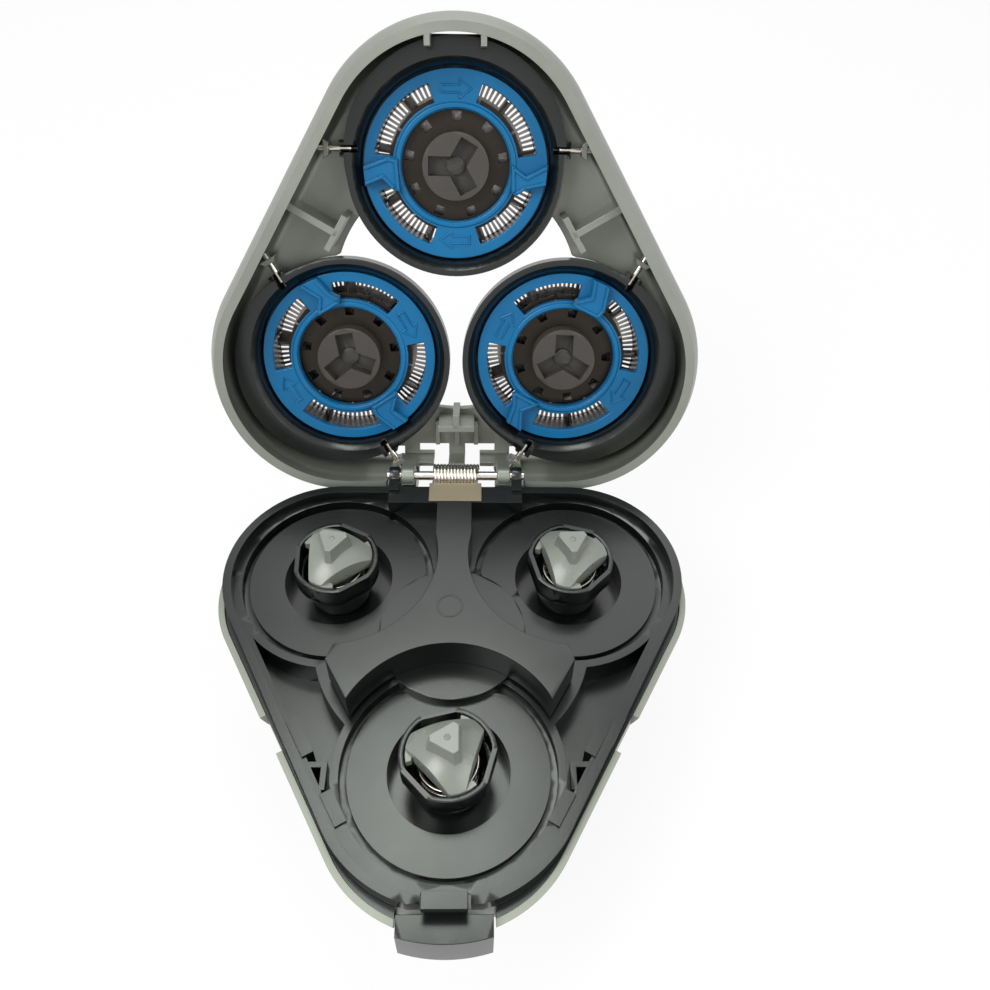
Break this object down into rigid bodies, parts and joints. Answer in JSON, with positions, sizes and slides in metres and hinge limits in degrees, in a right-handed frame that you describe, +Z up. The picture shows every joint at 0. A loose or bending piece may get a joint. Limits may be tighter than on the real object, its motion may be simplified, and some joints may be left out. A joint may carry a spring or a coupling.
{
  "type": "rotary shaver head",
  "caption": "Open rotary shaving unit: a hinged lid with pivoting slotted heads and spinning cutters, over a base with sprung drive couplings and a hair chamber.",
  "frame": {"origin": "centre of the neck's end face, on the drive axis", "axes": "+Z up along the drive axis from the handle to the heads, +Y towards the lid's hinge, +X to the right"},
  "size_m": [0.0624, 0.0877, 0.0714],
  "materials": {
    "pewter_plastic": "pewter metallic paint, satin",
    "black_plastic": "fine satin moulding",
    "blue_plastic": "satin",
    "grey_brown_plastic": "satin",
    "light_grey_plastic": "satin",
    "white_plastic": "natural acetal",
    "guard_steel": "ground",
    "blade_steel": "stamped, bright",
    "plated_steel": "plated"
  },
  "bodies": {
    "base": {"base_shell": "pewter_plastic", "base_tray": "black_plastic", "gear_cover": "black_plastic", "gear_plate": "black_plastic", "case_screws": "plated_steel", "hinge_pin": "plated_steel", "hinge_spring": "plated_steel", "spring_clip": "plated_steel", "button_spring": "plated_steel"},
    "lid": {"lid_frame": "pewter_plastic", "pivot_pins_1": "plated_steel", "pivot_pins_2": "plated_steel", "pivot_pins_3": "plated_steel"},
    "release_button": {"release_button": "black_plastic"},
    "drive": {"drive_gear": "white_plastic"},
    "head_1": {"pivot_ring_1": "black_plastic", "guard_1": "guard_steel", "retaining_ring_1": "blue_plastic"},
    "cutter_1": {"cutter_hub_1": "grey_brown_plastic", "blade_ring_1": "blade_steel"},
    "spindle_1": {"drive_cup_1": "black_plastic", "spindle_gear_1": "white_plastic", "tip_spring_1": "plated_steel"},
    "tip_1": {"coupling_tip_1": "light_grey_plastic"},
    "head_2": {"pivot_ring_2": "black_plastic", "guard_2": "guard_steel", "retaining_ring_2": "blue_plastic"},
    "cutter_2": {"cutter_hub_2": "grey_brown_plastic", "blade_ring_2": "blade_steel"},
    "spindle_2": {"drive_cup_2": "black_plastic", "spindle_gear_2": "white_plastic", "tip_spring_2": "plated_steel"},
    "tip_2": {"coupling_tip_2": "light_grey_plastic"},
    "head_3": {"pivot_ring_3": "black_plastic", "guard_3": "guard_steel", "retaining_ring_3": "blue_plastic"},
    "cutter_3": {"cutter_hub_3": "grey_brown_plastic", "blade_ring_3": "blade_steel"},
    "spindle_3": {"drive_cup_3": "black_plastic", "spindle_gear_3": "white_plastic", "tip_spring_3": "plated_steel"},
    "tip_3": {"coupling_tip_3": "light_grey_plastic"}
  },
  "joints": [
    {"name": "lid", "type": "hinge", "parent": "base", "child": "lid", "pos_m": [0, 0.02225, 0.0227], "axis": [1, 0, 0], "range_deg": [0, 116.7], "stiffness_Nm_per_rad": 0.0008, "springref_deg": -34.38, "deforming": ["hinge_spring"]},
    {"name": "release", "type": "slide", "parent": "base", "child": "release_button", "axis": [0, 1, 0], "range_m": [-0.0006, 0.0006], "stiffness_N_per_m": 300, "deforming": ["button_spring"]},
    {"name": "head_1_tilt", "type": "hinge", "parent": "lid", "child": "head_1", "pos_m": [0, 0.04577, 0.05611], "axis": [1, 0, 0], "range_deg": [-4, 4]},
    {"name": "head_2_tilt", "type": "hinge", "parent": "lid", "child": "head_2", "pos_m": [0.01573, 0.03353, 0.03177], "axis": [-0.5, -0.3891, -0.7737], "range_deg": [-4, 4]},
    {"name": "head_3_tilt", "type": "hinge", "parent": "lid", "child": "head_3", "pos_m": [-0.01573, 0.03353, 0.03177], "axis": [-0.5, 0.3891, 0.7737], "range_deg": [-4, 4]},
    {"name": "cutter_1_spin", "type": "hinge", "parent": "head_1", "child": "cutter_1", "pos_m": [0, 0.04436, 0.05458], "axis": [0, 0.8934, -0.4493], "continuous": true},
    {"name": "cutter_2_spin", "type": "hinge", "parent": "head_2", "child": "cutter_2", "pos_m": [0.014, 0.03347, 0.03292], "axis": [0, 0.8934, -0.4493], "continuous": true},
    {"name": "cutter_3_spin", "type": "hinge", "parent": "head_3", "child": "cutter_3", "pos_m": [-0.014, 0.03347, 0.03292], "axis": [0, 0.8934, -0.4493], "continuous": true},
    {"name": "spindle_1_spin", "type": "hinge", "parent": "base", "child": "spindle_1", "pos_m": [0, -0.01617, 0.02], "axis": [0, 0, 1], "continuous": true},
    {"name": "spindle_2_spin", "type": "hinge", "parent": "base", "child": "spindle_2", "pos_m": [0.014, 0.00808, 0.02], "axis": [0, 0, 1], "continuous": true},
    {"name": "spindle_3_spin", "type": "hinge", "parent": "base", "child": "spindle_3", "pos_m": [-0.014, 0.00808, 0.02], "axis": [0, 0, 1], "continuous": true},
    {"name": "drive_spin", "type": "hinge", "parent": "base", "child": "drive", "pos_m": [0, 0, 0.011], "axis": [0, 0, 1], "continuous": true},
    {"name": "tip_1_push", "type": "slide", "parent": "spindle_1", "child": "tip_1", "axis": [0, 0, -1], "range_m": [0, 0.0012], "stiffness_N_per_m": 120, "deforming": ["tip_spring_1"]},
    {"name": "tip_2_push", "type": "slide", "parent": "spindle_2", "child": "tip_2", "axis": [0, 0, -1], "range_m": [0, 0.0012], "stiffness_N_per_m": 120, "deforming": ["tip_spring_2"]},
    {"name": "tip_3_push", "type": "slide", "parent": "spindle_3", "child": "tip_3", "axis": [0, 0, -1], "range_m": [0, 0.0012], "stiffness_N_per_m": 120, "deforming": ["tip_spring_3"]}
  ],
  "couplings": [
    {"joint": "spindle_2_spin", "follows": "spindle_1_spin", "ratio": 1},
    {"joint": "spindle_3_spin", "follows": "spindle_1_spin", "ratio": 1},
    {"joint": "drive_spin", "follows": "spindle_1_spin", "ratio": -0.66667}
  ]
}
